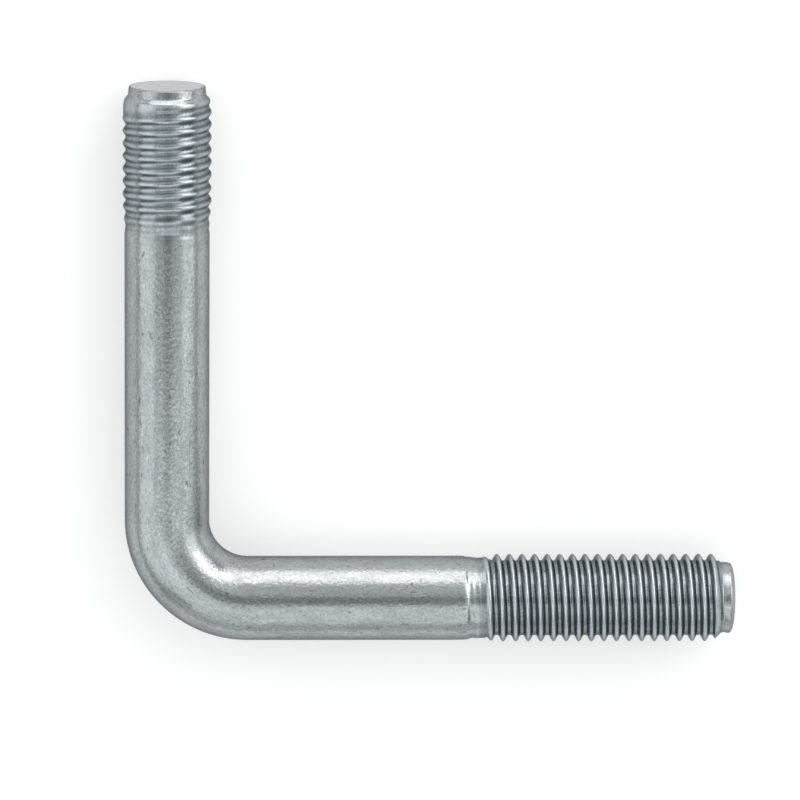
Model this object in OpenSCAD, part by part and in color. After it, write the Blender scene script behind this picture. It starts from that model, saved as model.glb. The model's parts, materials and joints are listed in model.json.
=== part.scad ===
// L-shaped anchor bolt: one round steel bar bent to a right angle, with a right-hand
// thread rolled on each end. It lies on its side, with the long leg along +X and the
// short leg along +Y.

/* [Bar] */
// Bend radius, to the centre line of the bar
bend_r = 11.2; // [9:0.1:18]
// Long leg, from the outside of the short leg to its end face
long_leg = 84.5; // [76:0.5:200]
// Short leg, from the outside of the long leg to its end face
short_leg = 77.4; // [66:0.2:160]
// How far the plain bar lies below the thread crests
bar_below = 0.25; // [0.1:0.01:0.3]

/* [Thread] */
// Major diameter of both threads, over the zinc
thread_d = 12.2; // [11:0.1:14]
// Pitch of both threads
pitch = 1.75; // [1.6:0.05:2]
// Angle between the two flanks of a groove
flank_angle = 60; // [50:1:62]
// Share of the flats that is crest, the rest being root
crest_share = 0.46; // [0.35:0.01:0.55]

/* [Long leg thread] */
// Threaded length
long_thread_l = 32.75; // [15:0.25:36]
// Depth of the grooves
long_depth = 0.9; // [0.8:0.05:1.1]
// Length past one pitch in which the first turns rise out of the bar
long_rise = 0.35; // [0:0.05:3]
// Turn of the thread about the leg
long_turn = 255; // [0:15:345]
// Length of the waist rolled into the bar ahead of the thread
waist_l = 2.9; // [1:0.1:5]
// Depth of that waist
waist_depth = 0.24; // [0.05:0.01:0.3]

/* [Short leg thread] */
// Threaded length
short_thread_l = 19.2; // [10:0.2:24]
// Depth of the grooves, shallow where zinc has filled them
short_depth = 0.45; // [0.4:0.05:0.7]
// Length past one pitch in which the first turns rise out of the bar
short_rise = 3.5; // [1.2:0.05:5]
// Turn of the thread about the leg
short_turn = 315; // [0:15:345]

/* [End points] */
// Length of the plain point on the long leg
long_point_l = 1.95; // [1.2:0.05:3]
// How far that point lies below the roots of the thread
long_point_step = 0.25; // [0.1:0.05:0.4]
// Length of its rounded end
long_round_l = 0.8; // [0.3:0.05:1.2]
// Width of the rounding across its end face
long_round_w = 2.4; // [0.3:0.1:4]
// Length of the tapered point on the short leg
short_point_l = 1.1; // [0.6:0.05:2]
// How far that point lies below the roots of the thread
short_point_step = 0.1; // [0.05:0.05:0.3]
// How much it narrows, at the radius
short_point_taper = 0.4; // [0.1:0.05:0.6]
// Radius rounding its edge
short_round = 0.2; // [0.1:0.05:0.4]

/* [Hidden] */
$fn = 96;
thread_r = thread_d / 2;
bar_r = thread_r - bar_below;
// Facets round one turn of thread, a multiple of four so that all sides are alike
facets = 24;
// Turn that keeps the corners of those facets off the seam of the bar
off_seam = 2;
// Depth by which one body runs into the next
lap = 0.1;
// Legs from the crossing of their axes
long_axis = long_leg - bar_r;
short_axis = short_leg - bar_r;

// One pitch of thread section, as [distance along the axis, share of the groove depth];
// the crest is in its middle
function section(depth) =
    let (flank = depth * tan(flank_angle / 2))
    let (flats = pitch - 2 * flank)
    let (crest = flats * crest_share)
    let (root = flats - crest)
    [
        [root / 2, 0],
        [root / 2 + flank, 1],
        [root / 2 + flank + crest, 1],
        [pitch - root / 2, 0]
    ];

// Solid screw with the thread section carried along a helix up +Z. Its crests rise from
// start_r to the full radius over the length rise.
module screw(depth, start_r, rise, turns) {
    form = section(depth);
    root_r = thread_r - depth;
    last = facets * turns;
    function crest_r(z) = min(thread_r, start_r + (thread_r - start_r) * z / rise);
    function corner(i, j) =
        let (lift = pitch * i / facets)
        let (r = root_r + (crest_r(lift) - root_r) * form[j][1])
        [r * cos(360 * i / facets), r * sin(360 * i / facets), lift + form[j][0]];
    // The end of one section is the start of the section a turn later
    function at(i, j) =
        j == 4 ? at(i + facets, 0) :
        i <= last ? 4 * i + j :
        4 * (last + 1) + i - last - 1;
    corners = concat(
        [for (i = [0 : last]) for (j = [0 : 3]) corner(i, j)],
        [for (i = [last + 1 : last + facets]) corner(i, 0)],
        [[0, 0, pitch / 2], [0, 0, pitch * (turns + 0.5)]]
    );
    bottom = len(corners) - 2;
    top = len(corners) - 1;
    skin = [
        for (i = [0 : last - 1]) for (j = [0 : 3]) each [
            [at(i, j), at(i + 1, j + 1), at(i + 1, j)],
            [at(i, j), at(i, j + 1), at(i + 1, j + 1)]
        ]
    ];
    lower_end = [for (i = [0 : facets - 1]) [bottom, at(i, 0), at(i + 1, 0)]];
    upper_end = [for (i = [last : last + facets - 1]) [top, at(i + 1, 0), at(i, 0)]];
    lower_step = [concat([bottom], [for (j = [4 : -1 : 0]) at(0, j)])];
    upper_step = [concat([top], [for (j = [0 : 4]) at(last, j)])];
    polyhedron(corners, concat(skin, lower_end, upper_end, lower_step, upper_step));
}

// Body turned about Z, with its seam midway between two corners of the thread's facets
module turned() {
    rotate(180 / facets)
        rotate_extrude()
            children();
}

// Thread from z = start to z = end up a leg. It grows out of a bar of radius from_r and
// is chamfered at 45 degrees down to a point of radius point_r.
module thread(start, end, depth, from_r, rise, turn, point_r) {
    foot = start - pitch;
    turns = ceil((end - foot) / pitch) + 1;
    intersection() {
        translate([0, 0, foot])
            rotate(turn + off_seam)
                screw(depth, from_r - 2 * lap, pitch + rise, turns);
        turned()
            polygon([
                [0, foot - lap],
                [thread_r + lap, foot - lap],
                [thread_r + lap, end - (thread_r - point_r)],
                [point_r - 2 * lap, end + 3 * lap],
                [0, end + 3 * lap]
            ]);
    }
}

// Plain straight bar up a leg, from a core set into the bend to a cone that sinks into
// the thread at z = start, with an optional waist ahead of it
module straight(start, depth, waist) {
    neck_r = bar_r - (waist ? waist_depth : 0);
    core_r = thread_r - depth - 2 * lap;
    neck = waist ? [[bar_r, start - waist_l], [neck_r, start - waist_l / 2]] : [];
    rotate_extrude()
        polygon(concat(
            [[0, bend_r - lap], [bar_r - lap, bend_r - lap]],
            [[bar_r - lap, bend_r], [bar_r, bend_r]],
            neck,
            [[neck_r, start], [core_r, start + pitch], [0, start + pitch]]
        ));
}

// End of the bar beyond the thread, from z = end to z = tip, with its edge rounded over
// the length round_l and the width round_w
module point(end, tip, point_r, taper, round_l, round_w) {
    end_r = point_r - taper;
    rim = [
        for (a = [0 : 15 : 90])
            [end_r - round_w * (1 - cos(a)), tip - round_l * (1 - sin(a))]
    ];
    turned()
        polygon(concat([[0, end - pitch], [point_r, end]], rim, [[0, tip]]));
}

module bend() {
    translate([bend_r, bend_r, 0])
        rotate(180)
            rotate_extrude(angle = 90)
                translate([bend_r, 0])
                    circle(bar_r);
}

module long_side() {
    end = long_axis - long_point_l;
    start = end - long_thread_l;
    point_r = thread_r - long_depth - long_point_step;
    straight(start, long_depth, true);
    thread(start, end, long_depth, bar_r - waist_depth, long_rise, long_turn, point_r);
    point(end, long_axis, point_r, 0, long_round_l, long_round_w);
}

module short_side() {
    end = short_axis - short_point_l;
    start = end - short_thread_l;
    point_r = thread_r - short_depth - short_point_step;
    straight(start, short_depth, false);
    thread(start, end, short_depth, bar_r, short_rise, short_turn, point_r);
    point(end, short_axis, point_r, short_point_taper, short_round, short_round);
}

module anchor_bolt() {
    color([0.66, 0.68, 0.69])
        translate([(thread_r - long_axis) / 2, (thread_r - short_axis) / 2, thread_r]) {
            rotate([0, 90, 0])
                long_side();
            rotate([-90, 0, 0])
                short_side();
            bend();
        }
}

anchor_bolt();
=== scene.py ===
import json
import math

import bpy
import numpy as np
from bpy.props import FloatProperty, FloatVectorProperty, IntProperty, PointerProperty
from mathutils import Matrix, Vector


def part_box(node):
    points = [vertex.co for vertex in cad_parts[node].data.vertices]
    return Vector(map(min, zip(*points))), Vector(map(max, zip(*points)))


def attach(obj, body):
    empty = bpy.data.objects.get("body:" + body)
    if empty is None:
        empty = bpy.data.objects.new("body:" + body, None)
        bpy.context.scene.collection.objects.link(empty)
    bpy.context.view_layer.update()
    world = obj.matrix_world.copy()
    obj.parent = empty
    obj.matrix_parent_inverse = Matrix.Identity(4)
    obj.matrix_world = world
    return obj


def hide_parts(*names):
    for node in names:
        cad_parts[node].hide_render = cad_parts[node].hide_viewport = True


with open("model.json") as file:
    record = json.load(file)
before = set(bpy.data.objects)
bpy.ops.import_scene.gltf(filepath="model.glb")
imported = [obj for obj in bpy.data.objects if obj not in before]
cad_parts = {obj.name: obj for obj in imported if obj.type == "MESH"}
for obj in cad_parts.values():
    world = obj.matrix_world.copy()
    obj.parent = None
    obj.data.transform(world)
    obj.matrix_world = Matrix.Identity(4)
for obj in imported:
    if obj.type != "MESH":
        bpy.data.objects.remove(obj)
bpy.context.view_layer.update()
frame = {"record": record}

bl_info = {
    "name": "L-Shaped Anchor Bolt",
    "version": (1, 0, 0),
    "blender": (4, 5, 0),
    "location": "View3D > Sidebar > Anchor Bolt",
    "description": "Zinc-coated anchor bolt bent to a right angle, in a plain studio",
    "category": "Add Mesh",
}

SOLID_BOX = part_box("anchor_bolt")
MOUNTS = {mount["name"]: mount for mount in frame["record"]["mounts"]}
MM = 0.001
QUARTER = math.pi / 2


def mount_span(name):
    """Where a mount starts and ends along its own axis, and its radius, in metres."""
    mount = MOUNTS[name]
    middle = mount["pos_m"][int(np.argmax(np.abs(mount["axis"])))]
    half = mount["dims"]["length_mm"] * MM / 2
    return middle - half, middle + half, mount["dims"]["r_mm"] * MM


# The two axes of the bar cross here, and both legs are measured from this point
CROSSING = (MOUNTS["short_shank"]["pos_m"][0], *MOUNTS["long_shank"]["pos_m"][1:])
LONG_SHANK = mount_span("long_shank")
LONG_THREAD = mount_span("long_thread")
SHORT_THREAD = mount_span("short_thread")

# Angles round the bar start at its top. The inner side of the bend lies this share of a turn on.
INNER_SIDE = 0.75

# Mesh rows: their length on the plain bar and on an end face, how many there are on the rounded
# end edges for each one on the same length of thread, and how many pitches ahead of the short
# thread its fine rows begin
PLAIN_ROW = 0.45 * MM
FACE_ROW = 0.5 * MM
SHORT_EDGE_ROWS = 1.4
LONG_EDGE_ROWS = 0.6
FINE_AHEAD = 1.5

# Random waves: length of a cell along the bar, cells round it, and seed
LUMPS = (1.1 * MM, 15, 11)
LONG_WAVES = (7.0 * MM, 14, 3)
SHORT_WAVES = (3.1 * MM, 28, 5)
# Height of the short waves, and how far both lie under the solid's skin, in heights of the long ones
SHORT_WAVE_SHARE = 0.5
COAT_SINK = 2.5

# Zinc in the short thread: how far down it reaches in filled lengths, how much further on one
# side, the angle of that side, and the share of a groove that it fills
FILL_REACH = 1.2
FILL_LEAN = 0.5
FILL_SIDE = 0.6 + QUARTER
FILL_SHARE = 0.9

# Marks ahead of the long thread: pitches over which they fade in, and how narrow they are
RUNOUT_PITCHES = 2.6
RUNOUT_POWER = 6

# Painted shade in each thread's grooves: its darkness at the roots, and what the flanks add
LONG_PAINTED_SHADE = (0.53, 1.17)
SHORT_PAINTED_SHADE = (0.1, 4.4)
# Painted highlight on the crests: how narrow its bright line is, and how bright it is on the short
# thread
CREST_HIGHLIGHT_POWER = 4
SHORT_PAINTED_HIGHLIGHT = 0.4

# The long end's cut face fades out over its rounding: share at the face, and its fall to the rim
FACE_SHARE = 1.3
FACE_FALL = 1.6


def length_property(name, description, default):
    """A length in metres that a user may change."""
    return FloatProperty(
        name=name, description=description, default=default, min=0, precision=5, unit="LENGTH"
    )


def share_property(name, description, default):
    """A number from 0 to 1."""
    return FloatProperty(
        name=name, description=description, default=default, min=0, max=1, subtype="FACTOR"
    )


def angle_property(name, description, degrees):
    """An angle, with its default in degrees."""
    return FloatProperty(
        name=name, description=description, default=math.radians(degrees), subtype="ANGLE"
    )


def colour_property(name, description, default):
    """A linear colour."""
    return FloatVectorProperty(
        name=name, description=description, default=default, min=0, max=1, subtype="COLOR"
    )


class BoltSizes(bpy.types.PropertyGroup):
    """Sizes of the bent bar and of the thread rolled on each end"""

    bar_radius: length_property("Bar radius", "Radius of the plain bar", LONG_SHANK[2])
    bend_radius: length_property(
        "Bend radius", "Radius of the bend at the bar's centre line", LONG_SHANK[0] - CROSSING[0]
    )
    long_leg: length_property(
        "Long leg", "From the axes' crossing to the long leg's end", SOLID_BOX[1][0] - CROSSING[0]
    )
    short_leg: length_property(
        "Short leg", "From the axes' crossing to the short leg's end", SOLID_BOX[1][1] - CROSSING[1]
    )
    crest_radius: length_property("Crest radius", "Radius of both threads", LONG_THREAD[2])
    pitch: length_property("Pitch", "Pitch of both threads", 1.75 * MM)
    flank_angle: angle_property(
        "Flank angle", "Angle between the two flanks of a groove on the long leg", 48
    )
    crest_share: share_property("Crest share", "Share of the flats that is crest", 0.46)
    edge_blend: length_property("Edge blend", "Softness of the bar's edges", 0.05 * MM)
    crest_soft: length_property("Crest softness", "Rounding of the long thread's crests", 0.2 * MM)
    root_soft: length_property("Root softness", "Rounding of the long thread's roots", 0.08 * MM)
    long_start: length_property(
        "Long thread start", "Where the long leg's thread starts", LONG_THREAD[0] - CROSSING[0]
    )
    long_end: length_property(
        "Long thread end", "Where the long leg's thread ends", LONG_THREAD[1] - CROSSING[0]
    )
    long_depth: length_property("Long groove depth", "Depth of the long leg's grooves", 0.9 * MM)
    long_rise: length_property(
        "Long rise", "Length past one pitch in which its crests rise", 0.35 * MM
    )
    long_turn: angle_property("Long turn", "Turn of the long leg's thread about the leg", 257)
    waist_start: length_property(
        "Waist start", "Where the waist ahead of the thread starts", LONG_SHANK[1] - CROSSING[0]
    )
    waist_depth: length_property("Waist depth", "Depth of the waist", 0.24 * MM)
    runout_depth: length_property(
        "Run-out depth", "Depth of the marks left ahead of the long thread", 0.14 * MM
    )
    short_start: length_property(
        "Short thread start", "Where the short leg's thread starts", SHORT_THREAD[0] - CROSSING[1]
    )
    short_end: length_property(
        "Short thread end",
        "Where the short leg's thread ends",
        SHORT_THREAD[1] - CROSSING[1] - 0.25 * MM,
    )
    short_depth: length_property(
        "Short groove depth", "Depth of the short leg's grooves, on its top and underside", 0.23 * MM
    )
    short_side_depth: length_property(
        "Short side depth", "Depth of the short leg's grooves, on its sides", 0.4 * MM
    )
    short_lumps: share_property(
        "Short lumps", "How far zinc shifts the short thread's edges, in pitches", 0.06
    )
    short_rise: length_property(
        "Short rise", "Length past one pitch in which its crests rise", 3.5 * MM
    )
    short_turn: angle_property("Short turn", "Turn of the short leg's thread about the leg", 317)
    fill_l: length_property(
        "Filled length", "Length over which zinc fills the short thread near its end", 2.6 * MM
    )
    short_ease: length_property("Short ease", "How far its last crests lie lower", 0.3 * MM)
    long_step: length_property(
        "Long point step", "How far the long point lies below the roots", 0.25 * MM
    )
    long_round_l: length_property(
        "Long point rounding", "Length of the long point's rounded end", 0.8 * MM
    )
    long_round_w: length_property(
        "Long face rounding", "Width of that rounding across the end face", 2.4 * MM
    )
    short_point: length_property("Short point", "Radius of the short leg's point", 5.38 * MM)
    short_taper: length_property("Short point taper", "How much the short point narrows", 0.1 * MM)
    short_round: length_property("Short point edge", "Radius of its end edge", 0.2 * MM)
    lap: length_property("Lap", "Depth by which one form runs into the next", 0.1 * MM)
    unevenness: length_property("Unevenness", "Height of the coat's low waves", 0.006 * MM)
    columns: IntProperty(name="Columns", description="Mesh columns round the bar", default=96, min=24)
    rows_per_pitch: IntProperty(
        name="Rows per pitch", description="Mesh rows along one pitch of thread", default=18, min=8
    )


class ZincFinish(bpy.types.PropertyGroup):
    """Colours and gloss of the zinc coat"""

    light: colour_property("Light zinc", "Lighter patches of the coat", (0.38, 0.402, 0.414))
    shade: colour_property("Shaded zinc", "Darker patches of the coat", (0.315, 0.336, 0.348))
    speck: colour_property("Specks", "Grain, pits and scratches", (0.10, 0.11, 0.118))
    grain_cover: share_property("Grain cover", "Strength of the dark grain", 0.3)
    mark_cover: share_property("Mark cover", "Strength of pits and scratches", 0.6)
    fleck: colour_property("Flecks", "Light flecks in the coat", (0.62, 0.65, 0.66))
    fleck_cover: share_property("Fleck cover", "Strength of the flecks", 0.3)
    # Painted shade in the threads' grooves, standing in for the shade between their flanks
    groove: colour_property("Grooves", "Coat in the threads' grooves", (0.09, 0.12, 0.138))
    groove_shade_cover: share_property("Groove cover", "Strength of the grooves' colour", 0.8)
    # Painted highlight along the threads' crests, standing in for their reflection of the lamps
    crest: colour_property("Crests", "Crests of the threads, rubbed bright", (0.48, 0.535, 0.57))
    crest_highlight_cover: share_property("Crest cover", "Strength of the crests' colour", 0.8)
    cut_end: colour_property("Cut ends", "Sheared end faces", (0.40, 0.425, 0.45))
    cut_cover: share_property("Cut cover", "Strength of the cut ends' colour", 0.8)
    cut_metal: share_property("Cut metal", "How metallic the cut ends look", 0.3)
    cut_dull: share_property("Cut dullness", "Roughness added on the cut ends", 0.2)
    edge: colour_property("Edge tint", "Reflection of the coat at a grazing angle", (0.4, 0.4, 0.4))
    gloss_low: share_property("Roughness, bright", "Roughness of the brightest patches", 0.2)
    gloss_high: share_property("Roughness, dull", "Roughness of the dullest patches", 0.28)
    crinkle: length_property("Crinkle height", "Height of the coat's fine crinkles", 0.033 * MM)
    thread_crinkle: share_property("Thread crinkles", "Share of them left on the threads", 0.3)


class StudioStage(bpy.types.PropertyGroup):
    """Floor, lamps and camera of the plain studio"""

    floor: colour_property("Floor", "Colour of the floor", (0.93, 0.93, 0.93))
    floor_glow: share_property("Floor glow", "Share of plain white in the floor as seen", 0.4)
    floor_size: length_property("Floor size", "Side of the square floor", 8.0)
    surround: FloatProperty(
        name="Surround", description="Strength of the grey surround", default=0.3, min=0
    )
    surround_colour: colour_property("Surround colour", "Colour of the surround", (0.91, 1.0, 1.0))
    warm_light: colour_property("Warm light", "Colour of the two bright lamps", (1.0, 0.96, 0.94))
    plain_light: colour_property("Plain light", "Colour of the other lamps", (1.0, 1.0, 1.0))
    tilt: angle_property(
        "Camera tilt",
        "Lean of the camera from straight above, towards the short leg's end",
        11.04,
    )
    yaw: angle_property(
        "Camera yaw",
        "Turn of the camera about its own upright, which sets it over the short leg",
        -2.13,
    )
    distance: length_property("Camera distance", "From the camera to its target", 0.916)
    view_width: length_property("View width", "Width of the picture at the target", 0.11023)
    target: FloatVectorProperty(
        name="Camera target",
        description="Point in the middle of the picture",
        default=(-0.00419, -0.0048, 0.0061),
        subtype="TRANSLATION",
        unit="LENGTH",
    )


# Surface of the bolt

def smooth_max(a, b, blend):
    """The larger of a and b, with the corner between them eased over the width blend."""
    return (a + b + np.sqrt((a - b) ** 2 + blend**2)) / 2


def smooth_min(a, b, blend):
    """The smaller of a and b, with the corner between them eased over the width blend."""
    return (a + b - np.sqrt((a - b) ** 2 + blend**2)) / 2


def smooth_step(share):
    """A share from 0 to 1, eased at both ends."""
    return share * share * (3 - 2 * share)


def waves(along, around, cell, sectors, seed):
    """Low random waves from -1 to 1: knots on a lattice of cells along the bar and sectors round
    it, closed round the bar, with smooth steps from knot to knot in both directions."""
    knots = np.random.default_rng(seed).uniform(-1, 1, (int(along.max() / cell) + 3, sectors))
    u = along / cell
    v = around / math.tau * sectors
    i = np.floor(u).astype(int)
    j = np.floor(v).astype(int)
    a = smooth_step(u - i)
    b = smooth_step(v - j)
    near = knots[i, j % sectors] * (1 - b) + knots[i, (j + 1) % sectors] * b
    far = knots[i + 1, j % sectors] * (1 - b) + knots[i + 1, (j + 1) % sectors] * b
    return near * (1 - a) + far * a


def thread_share(turns, size):
    """Height of the long leg's thread section from 0 at the root to 1 at the crest, where turns is
    the distance from a crest in pitches: straight flanks between a rounded crest and root."""
    flank = size.long_depth * math.tan(size.flank_angle / 2)
    crest = (size.pitch - 2 * flank) * size.crest_share

    def rounded(away):
        height = smooth_max((crest / 2 + flank - away) / flank, 0, size.root_soft / flank)
        return smooth_min(height, 1, size.crest_soft / flank)

    low = rounded(size.pitch / 2)
    share = rounded(np.abs(turns - np.round(turns)) * size.pitch)
    return (share - low) / (rounded(0) - low)


def groove_painted_shade(share, at_root, on_flanks):
    """Painted shade in a groove where the thread has the height share: darkness at_root at its root,
    none on the crest, and more between them, as on_flanks says."""
    return (1 - share) * (at_root + on_flanks * share)


def tip_radii(size):
    """Radius of the short leg's and of the long leg's point at its end."""
    return size.short_point - size.short_taper, size.crest_radius - size.long_depth - size.long_step


def leg_radius(size, leg, share, depth, ease, start, end, rise, from_radius, point_radius, bar, point):
    """Radius of a threaded leg at the distance leg from the axes' crossing.

    The helical thread, of height share, grows out of the bar over the length rise, the bar sinks
    into it as a cone one pitch long, its crests come down by ease, its roots stay no higher than
    its crests, a 45 degree chamfer cuts it off at its end, and the point carries on. bar and point
    are radii at distances along the leg. Returns the radius, and how far a place lies in the
    threaded length, 0 to 1."""
    foot = start - size.pitch
    lift = np.clip((leg - foot - size.pitch / 2) / (size.pitch + rise), 0, 1)
    sunk = from_radius - 2 * size.lap
    crest = sunk + (size.crest_radius - sunk) * lift - ease
    root = np.minimum(size.crest_radius - depth, crest)
    screw = root + (crest - root) * share
    chamfer = point_radius + end + size.lap - leg
    radius = smooth_max(np.interp(leg, *bar), screw, size.edge_blend)
    radius = smooth_min(radius, chamfer, size.edge_blend)
    radius = smooth_max(radius, np.interp(leg, *point), size.edge_blend)
    inside = np.clip((leg - foot) / size.pitch, 0, 1) * np.clip((end - leg) / size.pitch + 0.5, 0, 1)
    return radius, inside


def short_leg_form(size, along, angle):
    """Skin of the short leg at a distance along the bar from its end and an angle round it.

    It is deeper on the leg's two sides than on its top and underside, and zinc fills it near its end,
    further down on one side. Returns the radius, how far a place lies in the threaded length, the
    painted shade in its grooves and the painted highlight along its crests."""
    leg = size.short_leg - along
    tip, _ = tip_radii(size)
    first_crest = size.short_start - size.pitch / 2 - size.pitch * size.short_turn / math.tau
    turns = (first_crest - leg) / size.pitch - angle / math.tau + INNER_SIDE
    turns = turns + size.short_lumps * waves(along, angle, *LUMPS)
    near_end = (leg - size.short_end) / size.fill_l
    filled = np.clip(near_end + FILL_REACH + FILL_LEAN * np.cos(angle - FILL_SIDE), 0, 1)
    share = (1 + np.cos(math.tau * turns)) / 2
    share = share + (1 - share) * FILL_SHARE * smooth_step(filled)
    depth = size.short_depth + (size.short_side_depth - size.short_depth) * np.sin(angle) ** 2
    radius, inside = leg_radius(
        size, leg, share, depth,
        ease=size.short_ease * np.clip(near_end + 1, 0, 1) ** 2,
        start=size.short_start,
        end=size.short_end,
        rise=size.short_rise,
        from_radius=size.bar_radius,
        point_radius=size.short_point,
        bar=(
            [size.short_start, size.short_start + size.pitch],
            [size.bar_radius, size.crest_radius - size.short_side_depth - 2 * size.lap],
        ),
        point=(
            [size.short_end - size.pitch, size.short_end, size.short_leg - size.short_round],
            [0, size.short_point, tip],
        ),
    )
    risen = np.clip((leg - size.short_start) / size.short_rise, 0, 1) * inside
    # Painted shade in the grooves, none where zinc fills them, and a painted highlight along the
    # crests, both fading in as the thread rises
    groove = groove_painted_shade(share, *SHORT_PAINTED_SHADE) * (1 - filled) * risen
    crest = SHORT_PAINTED_HIGHLIGHT * share**CREST_HIGHLIGHT_POWER * risen
    return radius, inside, groove, crest


def long_leg_form(size, leg, angle):
    """Skin of the long leg at the distance leg from the axes' crossing and an angle round it.

    The bar narrows to a waist, with narrow run-out marks along the helix there, and the thread
    starts from the waist. Returns the same as short_leg_form."""
    _, tip = tip_radii(size)
    neck = size.bar_radius - size.waist_depth
    waist_middle = (size.waist_start + size.long_start) / 2
    first_crest = size.long_start - size.pitch / 2
    first_crest = first_crest + size.pitch * (QUARTER - size.long_turn) / math.tau
    turns = (leg - first_crest) / size.pitch - angle / math.tau + INNER_SIDE
    share = thread_share(turns, size)
    radius, inside = leg_radius(
        size, leg, share, size.long_depth,
        ease=0,
        start=size.long_start,
        end=size.long_end,
        rise=size.long_rise,
        from_radius=neck,
        point_radius=tip,
        bar=(
            [size.waist_start, waist_middle, size.long_start, size.long_start + size.pitch],
            [size.bar_radius, neck, neck, size.crest_radius - size.long_depth - 2 * size.lap],
        ),
        point=([size.long_end - size.pitch, size.long_end], [0, tip]),
    )
    ahead = np.clip((leg - size.long_start) / size.pitch / RUNOUT_PITCHES + 1, 0, 1) * (1 - inside)
    radius = radius - size.runout_depth * ahead * (1 - share) ** RUNOUT_POWER
    # Painted shade in the grooves and a painted highlight along the crests, over the threaded length
    groove = groove_painted_shade(share, *LONG_PAINTED_SHADE) * inside
    crest = share**CREST_HIGHLIGHT_POWER * inside
    return radius, inside, groove, crest


def profile_stops(size):
    """Ends of the zones of the skin's profile, as distances along it and as numbers of mesh rows.

    The zones are the short leg's end face, its rounded edge, its thread and its plain length, the
    bend, then the long leg's plain length, its waist and thread, its rounded edge and its face."""
    short_tip, long_tip = tip_radii(size)
    fine = size.rows_per_pitch / size.pitch
    short_fine = size.short_leg - size.short_start + FINE_AHEAD * size.pitch
    lengths, rows_per_metre = np.array([
        (short_tip - size.short_round, 1 / FACE_ROW),
        (size.short_round * QUARTER, SHORT_EDGE_ROWS * fine),
        (short_fine - size.short_round, fine),
        (size.short_leg - size.bend_radius - short_fine, 1 / PLAIN_ROW),
        (size.bend_radius * QUARTER, 1 / PLAIN_ROW),
        (size.waist_start - size.bend_radius, 1 / PLAIN_ROW),
        (size.long_leg - size.waist_start - size.long_round_l, fine),
        (size.long_round_w * QUARTER, LONG_EDGE_ROWS * fine),
        (long_tip - size.long_round_w, 1 / FACE_ROW),
    ]).T
    distances = np.concatenate([[0], np.cumsum(lengths)])
    rows = np.concatenate([[0], np.cumsum(lengths * rows_per_metre)])
    return distances, rows


def distinct(faces):
    """Which faces have no corner twice."""
    return (np.diff(np.sort(faces, axis=1), axis=1) > 0).all(axis=1)


def grid_faces(number, climb):
    """Quads and triangles between the vertices of a grid, where number gives each one's number.

    The last column is joined to the first one climb rows further on, and past the last row to
    vertex 1, the middle of the far end face. A quad with a corner twice is cut into triangles, and
    those that still have one are left out."""
    right = np.concatenate([number[:, 1:], np.ones((len(number), 1), dtype=int)], axis=1)
    right[:-climb, -1] = number[climb:, 0]
    quads = np.stack([number[:-1], right[:-1], right[1:], number[1:]], axis=-1).reshape(-1, 4)
    whole = distinct(quads)
    folded = quads[~whole]
    triangles = np.concatenate([folded[:, [0, 1, 2]], folded[:, [0, 2, 3]]])
    return quads[whole], triangles[distinct(triangles)]


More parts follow.
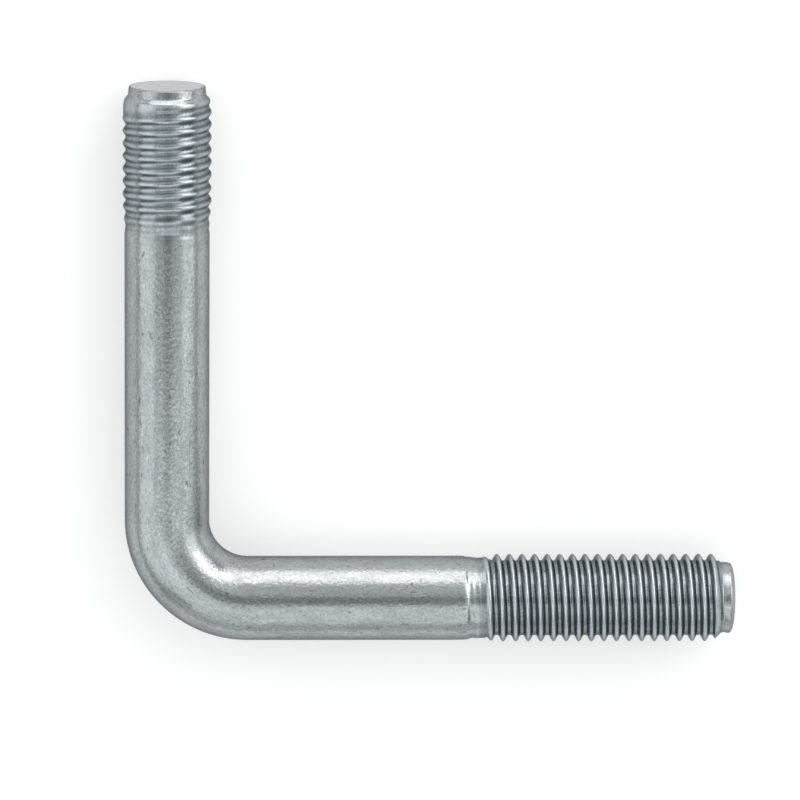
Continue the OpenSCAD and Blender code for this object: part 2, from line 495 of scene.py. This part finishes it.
def bolt_surface(size):
    """Skin of the whole bolt, swept along the bar's centre line from the short leg's end face,
    round the bend and out to the long leg's end face.

    A row u of the grid climbs by rows_per_pitch rows in one turn, so that rows follow the thread's
    helix and its edges stay sharp. The distance t along the skin's own profile grows with u: from
    the middle of one end face, over its rounded edge, along the bar and over the other end to its
    middle. The radius is that of the end faces near the ends, of the threads on the legs and of
    the plain bar between, with low waves in the coat. Rows before the first and after the last
    fall together in the middle of an end face, which closes the skin.

    Returns vertices, quads, triangles and named attributes."""
    short_straight = size.short_leg - size.bend_radius
    arc = size.bend_radius * QUARTER
    long_from = short_straight + arc
    total = long_from + size.long_leg - size.bend_radius
    _, long_tip = tip_radii(size)
    distances, row_stops = profile_stops(size)

    # Grid of rows and columns, with each row climbing along the helix
    climb = size.rows_per_pitch
    rows = int(math.ceil(row_stops[-1])) + 2 * climb + 2
    row, column = np.meshgrid(np.arange(rows) - climb, np.arange(size.columns), indexing="ij")
    angle = column * math.tau / size.columns
    u = np.clip(row + climb * column / size.columns, 0, row_stops[-1])
    t = np.interp(u, row_stops, distances)

    # Distance along the centre line, and the radius that the two end faces allow
    first_face_end, first_edge_end = distances[1:3]
    last_edge_start, last_face_start, profile_end = distances[-3:]
    first_edge = np.clip((t - first_face_end) / size.short_round, 0, QUARTER)
    last_edge = np.clip((last_face_start - t) / size.long_round_w, 0, QUARTER)
    on_first = t < first_edge_end
    on_last = t > last_edge_start
    along = t - first_edge_end + size.short_round
    along = np.where(on_first, size.short_round * (1 - np.cos(first_edge)), along)
    along = np.where(on_last, total - size.long_round_l * (1 - np.cos(last_edge)), along)
    first_limit = np.minimum(t, first_face_end) + size.short_round * np.sin(first_edge)
    last_limit = np.minimum(profile_end - t, long_tip - size.long_round_w)
    last_limit = last_limit + size.long_round_w * np.sin(last_edge)

    # Skin of the two legs, which meet halfway round the bend, and the waves in the coat
    on_short = along < short_straight + arc / 2
    radius, threaded, groove, crest = np.where(
        on_short,
        short_leg_form(size, along, angle),
        long_leg_form(size, along - long_from + size.bend_radius, angle),
    )
    coat = waves(along, angle, *LONG_WAVES) + SHORT_WAVE_SHARE * waves(along, angle, *SHORT_WAVES)
    radius = radius + size.unevenness * (coat - COAT_SINK)
    radius = np.where(on_first, np.minimum(radius, first_limit), radius)
    radius = np.where(on_last, np.minimum(radius, last_limit), radius)
    long_face = np.clip(FACE_SHARE - FACE_FALL * last_edge / QUARTER, 0, 1)
    end_face = np.where(on_short, t < first_face_end, long_face)

    # Centre line: down the short leg, round the bend, out along the long leg
    swing = np.clip((along - short_straight) / size.bend_radius, 0, QUARTER)
    x = size.bend_radius * (1 - np.cos(swing)) + np.maximum(along - long_from, 0)
    y = size.bend_radius * (1 - np.sin(swing)) + np.maximum(short_straight - along, 0)
    outward = radius * np.sin(angle)
    upward = radius * np.cos(angle)
    place = np.stack([x - outward * np.cos(swing), y - outward * np.sin(swing), upward], axis=-1)
    straight = np.stack([upward, outward, along], axis=-1)

    # Rows beyond the ends share one vertex in the middle of each end face, numbered 0 and 1
    first = u <= 0
    last = u >= row_stops[-1]
    within = ~(first | last)
    number = np.where(first, 0, np.where(last, 1, np.cumsum(within).reshape(within.shape) + 1))

    def keep(values):
        """Values of the two middles, then of every other vertex."""
        return np.concatenate([values[first][:1], values[last][:1], values[within]])

    # groove holds the painted shade of the threads' grooves, and crest the painted highlight along
    # their crests
    attributes = {
        "straight_bar": keep(straight),
        "groove": keep(groove),
        "crest": keep(crest),
        "end_face": keep(end_face),
        "threaded": keep(threaded),
    }
    return keep(place + CROSSING), *grid_faces(number, climb), attributes


def mesh_object(name, vertices, faces, attributes):
    """A smooth mesh object with point attributes, of numbers or of vectors."""
    mesh = bpy.data.meshes.new(name)
    mesh.from_pydata(vertices.tolist(), [], faces)
    for key, values in attributes.items():
        kind, field = ("FLOAT_VECTOR", "vector") if values.ndim == 2 else ("FLOAT", "value")
        mesh.attributes.new(key, kind, "POINT").data.foreach_set(field, values.ravel())
    mesh.polygons.foreach_set("use_smooth", np.ones(len(mesh.polygons), dtype=bool))
    mesh.update()
    if mesh.validate():
        raise RuntimeError(f"{name} has faces that can't be used")
    piece = bpy.data.objects.new(name, mesh)
    bpy.context.scene.collection.objects.link(piece)
    return piece


# Materials

# Turn of every pattern on the bar, about three axes, so that no line of its cells runs along it
PATTERN_TURN = (0.6, 0.45, 0.3)


def new_material(name):
    """An empty node material, and its node tree."""
    material = bpy.data.materials.new(name)
    material.use_nodes = True
    material.node_tree.nodes.clear()
    return material, material.node_tree


def add(tree, kind, settings=None, **links):
    """Adds a node. links are sockets or values for its inputs, by name with _ for a space, or by
    number as i0, i1 and so on."""
    made = tree.nodes.new(kind)
    for key, value in (settings or {}).items():
        setattr(made, key, value)
    for key, value in links.items():
        index = int(key[1:]) if key[0] == "i" and key[1:].isdigit() else key.replace("_", " ")
        socket = made.inputs[index]
        if isinstance(value, bpy.types.NodeSocket):
            tree.links.new(value, socket)
        else:
            socket.default_value = value
    return made


def attribute(tree, name, output):
    """One of the bolt's own attributes."""
    return add(tree, "ShaderNodeAttribute", {"attribute_name": name}).outputs[output]


def pattern(tree, place, across, along, detail, roughness=0.5, distortion=0.0):
    """Noise from 0 to 1 on the straightened bar, with so many cells a millimetre across and along
    it."""
    turned = add(
        tree, "ShaderNodeMapping", Vector=place, Rotation=PATTERN_TURN,
        Scale=(across / MM, across / MM, along / MM),
    )
    return add(
        tree, "ShaderNodeTexNoise", Vector=turned.outputs["Vector"], Scale=1, Detail=detail,
        Roughness=roughness, Distortion=distortion,
    ).outputs["Fac"]


def ramp(tree, value, low, high, to_low=0.0, to_high=1.0):
    """value from low to high, as a smooth step from to_low to to_high."""
    return add(
        tree, "ShaderNodeMapRange", {"interpolation_type": "SMOOTHSTEP"},
        Value=value, From_Min=low, From_Max=high, To_Min=to_low, To_Max=to_high,
    ).outputs["Result"]


def combined(tree, operation, a, b):
    """Two numbers put together by a Math node's operation."""
    return add(tree, "ShaderNodeMath", {"operation": operation}, i0=a, i1=b).outputs["Value"]


def blended(tree, share, a, b):
    """Colour a where share is 0 and b where it is 1."""
    made = add(tree, "ShaderNodeMix", {"data_type": "RGBA"}, i0=share, i6=a, i7=b)
    return made.outputs[2]


def zinc_material(finish):
    """Zinc coat: glossy grey metal with cloudy patches, dark grain, light flecks, pits and short
    scratches, fine crinkles, painted shade in the grooves, a painted highlight along the crests and
    dull cut ends."""
    material, tree = new_material("zinc_coat")
    place = attribute(tree, "straight_bar", "Vector")
    groove = attribute(tree, "groove", "Fac")
    crest = attribute(tree, "crest", "Fac")
    threaded = attribute(tree, "threaded", "Fac")
    end_face = attribute(tree, "end_face", "Fac")
    clouds = pattern(tree, place, across=0.75, along=0.3, detail=5, roughness=0.7, distortion=0.3)
    crinkles = pattern(tree, place, across=2.3, along=1.84, detail=2)
    grain = pattern(tree, place, across=3.3, along=2.64, detail=2, roughness=0.6)
    flecks = pattern(tree, place, across=3.0, along=2.1, detail=3, roughness=0.65, distortion=0.4)
    pits = pattern(tree, place, across=1.5, along=0.9, detail=2)
    scratches = pattern(tree, place, across=2.64, along=0.24, detail=2)

    # Colour: patches first, then one layer over the other
    marks = combined(
        tree, "MAXIMUM",
        ramp(tree, pits, low=0.665, high=0.73),
        ramp(tree, scratches, low=0.69, high=0.75),
    )
    coat = blended(
        tree, ramp(tree, clouds, low=0.36, high=0.64), (*finish.light, 1), (*finish.shade, 1)
    )
    for share, colour in (
        (ramp(tree, grain, low=0.47, high=0.68, to_high=finish.grain_cover), finish.speck),
        (ramp(tree, flecks, low=0.5, high=0.7, to_high=finish.fleck_cover), finish.fleck),
        (combined(tree, "MULTIPLY", marks, finish.mark_cover), finish.speck),
        # Painted shade in the grooves, then a painted highlight along the crests
        (combined(tree, "MULTIPLY", groove, finish.groove_shade_cover), finish.groove),
        (combined(tree, "MULTIPLY", crest, finish.crest_highlight_cover), finish.crest),
        (combined(tree, "MULTIPLY", end_face, finish.cut_cover), finish.cut_end),
    ):
        coat = blended(tree, share, coat, (*colour, 1))

    gloss = ramp(
        tree, clouds, low=0.35, high=0.65, to_low=finish.gloss_low, to_high=finish.gloss_high
    )
    dull = combined(tree, "MULTIPLY", end_face, finish.cut_dull)
    bump = add(
        tree, "ShaderNodeBump", Height=crinkles, Distance=finish.crinkle,
        Strength=ramp(tree, threaded, low=0, high=1, to_low=1, to_high=finish.thread_crinkle),
    )
    shader = add(
        tree, "ShaderNodeBsdfPrincipled", Base_Color=coat, Normal=bump.outputs["Normal"],
        Metallic=ramp(tree, end_face, low=0, high=1, to_low=1, to_high=finish.cut_metal),
        Roughness=combined(tree, "ADD", gloss, dull),
        Specular_Tint=(*finish.edge, 1),
    )
    add(tree, "ShaderNodeOutputMaterial", Surface=shader.outputs["BSDF"])
    return material


def floor_material(stage):
    """Matt floor with a share of plain white, seen directly and in reflections, which lightens the
    shadow on it."""
    material, tree = new_material("studio_floor")
    matt = add(tree, "ShaderNodeBsdfDiffuse", Color=(*stage.floor, 1))
    white = add(tree, "ShaderNodeEmission", Color=(1, 1, 1, 1), Strength=1.0)
    path = add(tree, "ShaderNodeLightPath").outputs
    seen = path["Is Camera Ray"]
    for ray in ("Is Glossy Ray", "Is Transmission Ray"):
        seen = combined(tree, "MAXIMUM", seen, path[ray])
    floor = add(
        tree, "ShaderNodeMixShader", i0=combined(tree, "MULTIPLY", seen, stage.floor_glow),
        i1=matt.outputs["BSDF"], i2=white.outputs["Emission"],
    )
    add(tree, "ShaderNodeOutputMaterial", Surface=floor.outputs["Shader"])
    return material


# Studio

# Lamps: name, side as degrees from +X, upper and lower edge, each as a distance out from the
# middle and a height in metres, width, how bright the panel itself looks, and whether it is warm
PANELS = (
    ("far_panel", 90, (0.66, 0.51), (0.87, 0.0), 1.0, 2.4, True),
    ("corner_panel", 40, (0.53, 0.64), (0.82, 0.30), 0.75, 1.9, True),
    ("far_fill", 90, (0.17, 0.75), (0.66, 0.51), 0.8, 0.56, False),
    ("near_panel", 270, (0.0875, 0.40), (0.55, 0.27), 0.5, 1.0, False),
    ("near_fill", 270, (0.55, 0.27), (0.60, 0.0), 0.9, 0.5, False),
    ("left_panel", 180, (0.49, 0.69), (0.88, 0.16), 1.6, 0.85, False),
    ("left_fill", 180, (0.15, 0.78), (0.80, 0.05), 0.9, 0.32, False),
    ("right_panel", 14, (0.48, 0.67), (0.80, 0.18), 0.75, 1.05, False),
    ("right_fill", 0, (0.15, 0.78), (0.80, 0.05), 0.9, 0.32, False),
)


def panel_lamp(name, side, upper, lower, width, brightness, colour):
    """A flat lamp that faces the bolt, with level edges, as the list of panels says."""
    azimuth = math.radians(side)
    out = (upper[0] + lower[0]) / 2
    lamp = bpy.data.lights.new(name, "AREA")
    lamp.shape = "RECTANGLE"
    lamp.size = math.hypot(lower[0] - upper[0], upper[1] - lower[1])
    lamp.size_y = width
    lamp.energy = brightness * math.pi * lamp.size * width
    lamp.color = colour
    made = bpy.data.objects.new(name, lamp)
    made.location = (
        out * math.cos(azimuth), out * math.sin(azimuth), (upper[1] + lower[1]) / 2
    )
    made.rotation_euler = (0, math.atan2(upper[1] - lower[1], lower[0] - upper[0]), azimuth)
    bpy.context.scene.collection.objects.link(made)


def surround_world(stage):
    """Even grey surround."""
    world = bpy.data.worlds.new("surround")
    world.use_nodes = True
    background = world.node_tree.nodes["Background"]
    background.inputs["Color"].default_value = (*stage.surround_colour, 1)
    background.inputs["Strength"].default_value = stage.surround
    return world


def stage_camera(stage):
    """Camera that leans over the bolt by tilt and yaw, at a distance from its target, with a lens
    that takes in the view's width there."""
    lens = bpy.data.cameras.new("camera")
    lens.lens = lens.sensor_width * stage.distance / stage.view_width
    camera = bpy.data.objects.new("camera", lens)
    camera.rotation_mode = "ZYX"
    camera.rotation_euler = (-stage.tilt, stage.yaw, 0)
    back = Matrix.Rotation(-stage.tilt, 3, "X") @ Matrix.Rotation(stage.yaw, 3, "Y").col[2]
    camera.location = Vector(stage.target) + stage.distance * back
    bpy.context.scene.collection.objects.link(camera)
    return camera


class ANCHORBOLT_OT_bar(bpy.types.Operator):
    """Builds the bent, threaded and zinc-coated bar in place of the plain solid"""

    bl_idname = "anchorbolt.bar"
    bl_label = "Build Bolt"

    def execute(self, context):
        vertices, quads, triangles, attributes = bolt_surface(context.scene.bolt_sizes)
        faces = quads.tolist() + triangles.tolist()
        bolt = mesh_object("bent_bolt", vertices, faces, attributes)
        bolt.data.materials.append(zinc_material(context.scene.zinc_finish))
        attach(bolt, "root")
        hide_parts("anchor_bolt")
        return {"FINISHED"}


class ANCHORBOLT_OT_stage(bpy.types.Operator):
    """Sets the floor, the lamps, the surround and the camera"""

    bl_idname = "anchorbolt.stage"
    bl_label = "Build Stage"

    def execute(self, context):
        scene = context.scene
        stage = scene.studio_stage
        half = stage.floor_size / 2
        corners = np.array([(-half, -half, 0), (half, -half, 0), (half, half, 0), (-half, half, 0)])
        floor = mesh_object("floor", corners, [(0, 1, 2, 3)], {})
        floor.data.materials.append(floor_material(stage))
        for *panel, warm in PANELS:
            panel_lamp(*panel, stage.warm_light if warm else stage.plain_light)
        scene.world = surround_world(stage)
        scene.view_settings.view_transform = "Standard"
        scene.camera = stage_camera(stage)
        return {"FINISHED"}


class ANCHORBOLT_PT_sidebar(bpy.types.Panel):
    """Sizes, finish and stage of the anchor bolt"""

    bl_label = "Anchor Bolt"
    bl_space_type = "VIEW_3D"
    bl_region_type = "UI"
    bl_category = "Anchor Bolt"

    def draw(self, context):
        scene = context.scene
        for group, operator in (
            (scene.bolt_sizes, ANCHORBOLT_OT_bar),
            (scene.zinc_finish, None),
            (scene.studio_stage, ANCHORBOLT_OT_stage),
        ):
            box = self.layout.box()
            for key in group.__annotations__:
                box.prop(group, key)
            if operator:
                box.operator(operator.bl_idname)


CLASSES = (
    BoltSizes, ZincFinish, StudioStage,
    ANCHORBOLT_OT_bar, ANCHORBOLT_OT_stage, ANCHORBOLT_PT_sidebar,
)


def register():
    for cls in CLASSES:
        bpy.utils.register_class(cls)
    bpy.types.Scene.bolt_sizes = PointerProperty(type=BoltSizes)
    bpy.types.Scene.zinc_finish = PointerProperty(type=ZincFinish)
    bpy.types.Scene.studio_stage = PointerProperty(type=StudioStage)


def unregister():
    del bpy.types.Scene.studio_stage
    del bpy.types.Scene.zinc_finish
    del bpy.types.Scene.bolt_sizes
    for cls in reversed(CLASSES):
        bpy.utils.unregister_class(cls)


def main():
    register()
    bpy.ops.anchorbolt.bar()
    bpy.ops.anchorbolt.stage()


if __name__ == "__main__":
    main()
